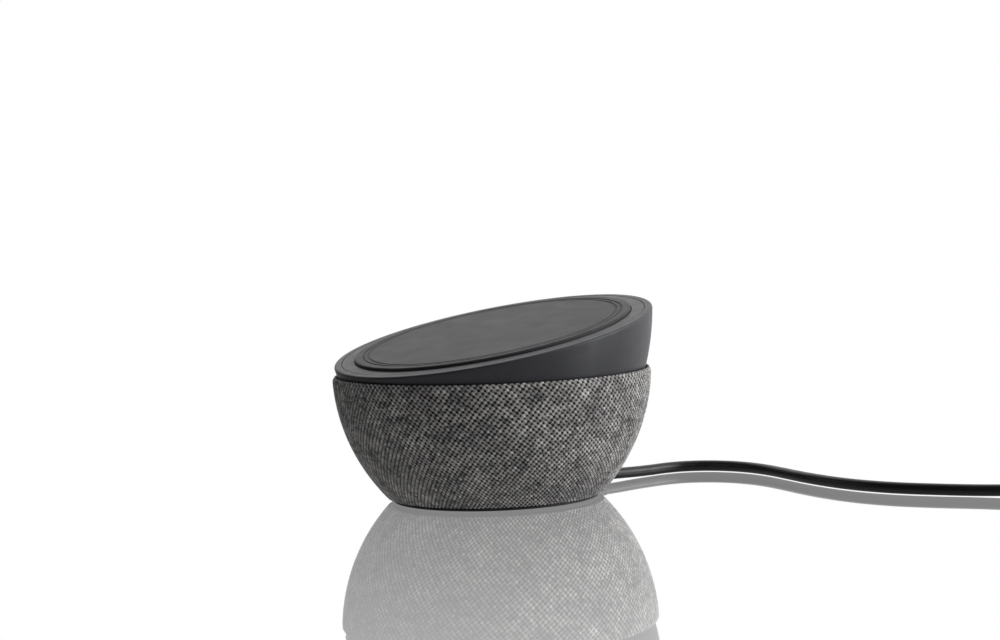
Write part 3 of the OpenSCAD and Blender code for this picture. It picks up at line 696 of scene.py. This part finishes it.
def screw_tree():
    """Geometry Nodes: a domed cross-head screw, head up, on each point of a mesh."""
    tree = bpy.data.node_groups.new("screws_on_points", "GeometryNodeTree")
    tree.interface.new_socket("Geometry", in_out="INPUT", socket_type="NodeSocketGeometry")
    names = {}
    for name in ("Head radius", "Head height", "Shank radius", "Shank length", "Steel"):
        kind = "NodeSocketMaterial" if name == "Steel" else "NodeSocketFloat"
        names[name] = tree.interface.new_socket(name, in_out="INPUT", socket_type=kind).identifier
    tree.interface.new_socket("Geometry", in_out="OUTPUT", socket_type="NodeSocketGeometry")
    inputs = tree.nodes.new("NodeGroupInput").outputs
    rim_r, rim_h = inputs["Head radius"], inputs["Head height"]

    def lifted(shape, height):
        up = node(tree, "ShaderNodeCombineXYZ", 0.0, 0.0, height).outputs[0]
        moved = node(tree, "GeometryNodeTransform", shape)
        tree.links.new(up, moved.inputs["Translation"])
        return moved.outputs[0]

    def cone(low, high, depth, sides=32):
        made = tree.nodes.new("GeometryNodeMeshCone")
        made.inputs["Vertices"].default_value = sides
        for key, value in (("Radius Bottom", low), ("Radius Top", high), ("Depth", depth)):
            plug_in(tree, made.inputs[key], value)
        return made.outputs["Mesh"]

    crown_h = calc(tree, "MULTIPLY", rim_h, 0.35)
    side_h = calc(tree, "SUBTRACT", rim_h, crown_h)
    crown_r = calc(tree, "MULTIPLY", rim_r, 0.8)
    wide = cone(rim_r, rim_r, side_h)
    crown = lifted(cone(rim_r, crown_r, crown_h), side_h)
    head = tree.nodes.new("GeometryNodeMeshBoolean")
    head.operation = "UNION"
    tree.links.new(wide, head.inputs["Mesh 2"])
    tree.links.new(crown, head.inputs["Mesh 2"])
    arm_l = calc(tree, "MULTIPLY", rim_r, 1.1)
    arm_w = calc(tree, "MULTIPLY", rim_r, 0.24)
    recess = tree.nodes.new("GeometryNodeMeshBoolean")
    recess.operation = "DIFFERENCE"
    tree.links.new(head.outputs[0], recess.inputs["Mesh 1"])
    for sizes in ((arm_l, arm_w, rim_h), (arm_w, arm_l, rim_h)):
        arm = node(tree, "GeometryNodeMeshCube", node(tree, "ShaderNodeCombineXYZ", *sizes).outputs[0])
        tree.links.new(lifted(arm.outputs[0], rim_h), recess.inputs["Mesh 2"])
    shank = cone(inputs["Shank radius"], inputs["Shank radius"], inputs["Shank length"], 20)
    down = calc(tree, "MULTIPLY", inputs["Shank length"], -1)
    whole = tree.nodes.new("GeometryNodeJoinGeometry")
    tree.links.new(recess.outputs[0], whole.inputs[0])
    tree.links.new(lifted(shank, down), whole.inputs[0])
    placed = tree.nodes.new("GeometryNodeInstanceOnPoints")
    tree.links.new(inputs["Geometry"], placed.inputs["Points"])
    tree.links.new(whole.outputs[0], placed.inputs["Instance"])
    real = node(tree, "GeometryNodeRealizeInstances", placed.outputs[0])
    coated = node(tree, "GeometryNodeSetMaterial", real.outputs[0])
    tree.links.new(inputs["Steel"], coated.inputs["Material"])
    tree.links.new(coated.outputs[0], tree.nodes.new("NodeGroupOutput").inputs[0])
    return tree, names


def circle_of(radius, degrees, height):
    angles = [math.radians(a) for a in degrees]
    return [Vector((radius * math.cos(a), radius * math.sin(a), height)) * mm for a in angles]


tree, names = screw_tree()
flip = Matrix.Rotation(math.pi, 4, "X")
deck_y = [
    (23.5 * math.sin(math.radians(a)) - 1.2 - 16.4 * math.sin(lean)) / math.cos(lean) for a in (-90, 30, 150)
]
deck_x = [23.5 * math.cos(math.radians(a)) for a in (-90, 30, 150)]
screw_sets = [
    ("cover_screws", "base", upright, circle_of(23.5, (-90, 30, 150), 2.05), True, (2, 1, 1.1, 7.5)),
    ("board_screws", "base", upright, circle_of(13, (90, 210, 330), 12.6), False, (1.7, 1.2, 0.9, 5)),
    (
        "deck_screws", "base", pivot_frame, [Vector((x, y, -15.35)) * mm for x, y in zip(deck_x, deck_y)],
        False, (2, 1.1, 1.1, 6.8),
    ),
    (
        "turntable_screws", "head", pivot_frame, circle_of(31.5, (45, 135, 225, 315), -12.15),
        True, (1.8, 1, 0.9, 7.5),
    ),
    ("tray_screws", "head", face_frame, circle_of(29.6, (30, 150, 270), -5.42), True, (1.7, 1.1, 0.9, 3.4)),
]
for set_name, body, place, points, heads_down, (rim, height, shank, length) in screw_sets:
    turn = flip if heads_down else upright
    dots = bpy.data.meshes.new(set_name + "_points")
    dots.from_pydata([turn @ p for p in points], [], [])
    screws_mesh = grown(
        set_name + "_cross", tree, names, start=dots, head_radius=rim * mm, head_height=height * mm,
        shank_radius=shank * mm, shank_length=length * mm, steel=screw_zinc,
    )
    screws_mesh.transform(place @ turn)
    solid_piece(set_name + "_cross", screws_mesh, screw_zinc, body, "zinc_steel", set_name)

# ------------------------------------------------------------------ head shell
# The slanted head: one moulding with a soft-touch paint. Its curved side swells upward
# from the bowl's edge, a narrower skirt reaches down to the turntable, and a ledge
# just under its rounded top edge carries the face.
head_arc = 72 * mm
head_arc_w = 20.3 * mm
rim_r = 43.2 * mm
wall_t = 1.8 * mm
face_shift = 0.6 * mm
plate_r = 43.3 * mm
edge_round = 0.85 * mm
head_arc_x = rim_r - math.sqrt(head_arc**2 - head_arc_w**2)


def side_radius(w):
    return head_arc_x + math.sqrt(head_arc**2 - (w - head_arc_w) ** 2)


def on_side(angle, drop, inset=0.0):
    """The spot on the head's side at an angle and depth under the face, in the pivot's frame."""
    reach = rim_r
    for _ in range(12):
        spot = pivot_frame.inverted() @ face_frame @ Vector(
            (reach * math.cos(angle), reach * math.sin(angle) + face_shift, -drop)
        )
        reach += side_radius(spot.z) - inset - math.hypot(spot.x, spot.y)
    return spot


def head_shell_rings(segments=256):
    """Closed sections through the shell's wall, one at each angle round the head."""
    to_pivot = pivot_frame.inverted() @ face_frame
    rings = []
    for i in range(segments):
        angle = 2 * math.pi * i / segments
        shoulder = on_side(angle, edge_round)
        azimuth = math.atan2(shoulder.y, shoulder.x)
        section = []

        def add(radius, w, azimuth=azimuth, section=section):
            section.append(Vector((radius * math.cos(azimuth), radius * math.sin(azimuth), w)))

        for step in range(14):
            w = -4.6 * mm + 0.4 * mm + (shoulder.z + 4.2 * mm) * step / 14
            add(side_radius(w), w)
        corner = on_side(angle, 0)
        inwards = Vector((math.cos(angle), math.sin(angle), 0)) * edge_round
        face_corner = to_pivot.inverted() @ corner
        edge_in = to_pivot @ (face_corner - inwards)
        for step in range(7):
            t = step / 6
            section.append(shoulder.lerp(corner, t).lerp(corner.lerp(edge_in, t), t))
        for radius, z in (
            (plate_r, 0), (plate_r, -1.62 * mm), (40.6 * mm, -1.62 * mm), (40.6 * mm, -2.8 * mm),
        ):
            spot = Vector((radius * math.cos(angle), radius * math.sin(angle) + face_shift, z))
            section.append(to_pivot @ spot)
        inner = on_side(angle, 3.2 * mm, wall_t)
        section.append(inner)
        add(side_radius(-3.4 * mm) - wall_t, -3.4 * mm)
        add(38.2 * mm, -3.4 * mm)
        add(34.6 * mm, -13.2 * mm)
        add(36.4 * mm, -13.2 * mm)
        add(40 * mm, -4.6 * mm)
        add(side_radius(-4.6 * mm) - 0.4 * mm, -4.6 * mm)
        rings.append([pivot_frame @ p for p in section])
    return rings


soft_touch, tree, shader, place = finish("soft_touch_graphite", 0.5, sheen_weight=0.12, sheen_roughness=0.35)
cloud = noise(tree, place, 60, 4)
speck = noise(tree, place, 2400, 2)
both = calc(tree, "MULTIPLY_ADD", speck, 0.45, calc(tree, "MULTIPLY", cloud, 0.55))
tones = shades(tree, both, (0.35, (0.042, 0.043, 0.051)), (0.65, (0.058, 0.059, 0.069)))
plug_in(tree, shader.inputs["Base Color"], tones)
plug_in(tree, shader.inputs["Roughness"], between(tree, noise(tree, place, 200, 3), 0.42, 0.5))
plug_in(tree, shader.inputs["Normal"], bump(tree, speck, 0.01 * mm))
head = solid_piece(
    "head_shell_smooth", lofted("head_shell_smooth", head_shell_rings(), closed=True), soft_touch,
    "head", "soft_touch", "head_shell",
)

# ------------------------------------------------------------- face and grip pad
# The face is a flat round plate let into the shell, its edge just broken. A charcoal
# silicone pad lies in its recess and stands a little proud: it has a rounded edge and
# two fine grooves, and it keeps a phone from slipping.
pad_r = 39.4 * mm
plate_t = 1.6 * mm
pad_low = -0.58 * mm
pad_top = 0.8 * mm
plate_profile = (
    [(4 * mm, -plate_t), (43.0 * mm, -plate_t), (43.2 * mm, -plate_t + 0.2 * mm)]
    + arc(43.2 * mm - 0.25 * mm, -0.25 * mm, 0.25 * mm, 0, 90)
    + [(pad_r + 0.25 * mm, 0), (pad_r + 0.15 * mm, -0.1 * mm)]
    + [(pad_r + 0.15 * mm, -0.6 * mm), (4 * mm, -0.6 * mm)]
)
plate_mesh = turned("face_plate", plate_profile)
plate_mesh.transform(face_frame @ Matrix.Translation((0, face_shift, 0)))
solid_piece("face_plate", plate_mesh, soft_touch, "head", "soft_touch", "top_plate")


def disc_profile(radius, low, high, edge, grooves):
    """A disc's section from its middle: a rounded edge and round grooves in its top."""
    top = arc(radius - edge, high - edge, edge, 0, 90, 6)
    for groove in sorted(grooves, reverse=True):
        top += [(groove + 0.3 * mm, high), (groove + 0.18 * mm, high - 0.18 * mm)]
        top += [(groove - 0.18 * mm, high - 0.18 * mm), (groove - 0.3 * mm, high)]
    return [(0.02 * mm, low), (radius - 0.1 * mm, low), (radius, low + 0.1 * mm)] + top + [(0.02 * mm, high)]


silicone, tree, shader, place = finish("silicone_charcoal", 0.62, sheen_weight=0.2, sheen_roughness=0.3)
dust = noise(tree, place, 75, 5, 0.6)
dusty = shades(tree, dust, (0.3, (0.026, 0.0265, 0.029)), (0.72, (0.038, 0.039, 0.042)))
plug_in(tree, shader.inputs["Base Color"], dusty)
plug_in(tree, shader.inputs["Roughness"], between(tree, noise(tree, place, 150, 3), 0.56, 0.68))
pebbles = node(tree, "ShaderNodeTexVoronoi", place)
pebbles.inputs["Scale"].default_value = 1500
plug_in(tree, shader.inputs["Normal"], bump(tree, pebbles.outputs["Distance"], 0.03 * mm))
pad_profile = disc_profile(pad_r, pad_low, pad_top, 0.5 * mm, (35.4 * mm, 36.8 * mm))
pad_mesh = turned("grip_pad_disc", pad_profile)
pad_mesh.transform(face_frame @ Matrix.Translation((0, face_shift, 0)))
solid_piece("grip_pad_disc", pad_mesh, silicone, "head", "silicone", "grip_pad", sharp=50)

# -------------------------------------------------------------- floor and lights
# A plain white gloss table top, which mirrors more the flatter it is seen. A white
# backdrop glows behind the pad and at its right, and the left and front are dimmer.
floor_mesh = bpy.data.meshes.new("table_top")
floor_mesh.from_pydata([(-6, -6, 0), (6, -6, 0), (6, 6, 0), (-6, 6, 0)], [], [(0, 1, 2, 3)])
floor = bpy.data.objects.new("table_top", floor_mesh)
bpy.context.scene.collection.objects.link(floor)
floor.location.z = -0.15 * mm
gloss_white = bpy.data.materials.new("gloss_white_table")
gloss_white.use_nodes = True
tree = gloss_white.node_tree
tree.nodes.clear()
ray = tree.nodes.new("ShaderNodeLightPath")
brightness = between(tree, calc(tree, "MULTIPLY_ADD", ray.outputs[0], 0.4, 0.3), 0.3, 1.0)
glow = node(tree, "ShaderNodeEmission", (1, 1, 1, 1), brightness)
mirror = node(tree, "ShaderNodeBsdfAnisotropic", (1, 1, 1, 1), 0.02)
facing = node(tree, "ShaderNodeLayerWeight", 0.5).outputs["Facing"]
flat_share = calc(tree, "MINIMUM", calc(tree, "MULTIPLY", calc(tree, "POWER", facing, 3), 1.25), 0.8)
both = node(tree, "ShaderNodeMixShader", flat_share, glow.outputs[0], mirror.outputs[0])
tree.links.new(both.outputs[0], node(tree, "ShaderNodeOutputMaterial").inputs[0])
floor_mesh.materials.append(gloss_white)

surround = bpy.data.worlds.new("white_backdrop")
surround.use_nodes = True
bpy.context.scene.world = surround
tree = surround.node_tree
backdrop = tree.nodes["Background"]
ray = tree.nodes.new("ShaderNodeLightPath")
way = tree.nodes.new("ShaderNodeTexCoord").outputs["Generated"]


def towards(azimuth, low, high):
    """1 in the directions near an azimuth, measured from the camera's right, and 0 away from it."""
    a = math.radians(azimuth) + heading
    aim = node(tree, "ShaderNodeVectorMath", way, (math.cos(a), math.sin(a), 0), operation="DOT_PRODUCT")
    near = node(
        tree, "ShaderNodeMapRange", aim.outputs["Value"], low, high, 0.0, 1.0, interpolation_type="SMOOTHSTEP"
    )
    return near.outputs[0]


behind = towards(53, -0.2, 0.5)
not_left = calc(tree, "SUBTRACT", 1.0, towards(180, 0.28, 0.6))
lit = calc(tree, "MULTIPLY_ADD", calc(tree, "MULTIPLY", behind, not_left), 0.95, 0.05)
plug_in(tree, backdrop.inputs["Strength"], calc(tree, "MAXIMUM", lit, ray.outputs[0]))
backdrop.inputs["Color"].default_value = (1, 1, 1, 1)
bpy.context.scene.view_settings.view_transform = "Standard"


def softbox(name, azimuth, elevation, distance, size, power, aim=(0, 0, 0.03)):
    """A soft rectangular light that looks at the pad; its azimuth is from the camera's right."""
    data = bpy.data.lights.new(name, "AREA")
    data.shape = "RECTANGLE"
    data.size, data.size_y = size
    data.energy = power
    lamp = bpy.data.objects.new(name, data)
    bpy.context.scene.collection.objects.link(lamp)
    a, e = math.radians(azimuth) + heading, math.radians(elevation)
    out = Vector((math.cos(a) * math.cos(e), math.sin(a) * math.cos(e), math.sin(e)))
    lamp.location = Vector(aim) + distance * out
    lamp.rotation_mode = "QUATERNION"
    lamp.rotation_quaternion = (Vector(aim) - lamp.location).to_track_quat("-Z", "Y")
    return lamp


softbox("right_softbox", -12, 22, 0.8, (0.4, 0.5), 2.6)
softbox("front_softbox", -70, 35, 1.0, (0.6, 0.5), 0.4)
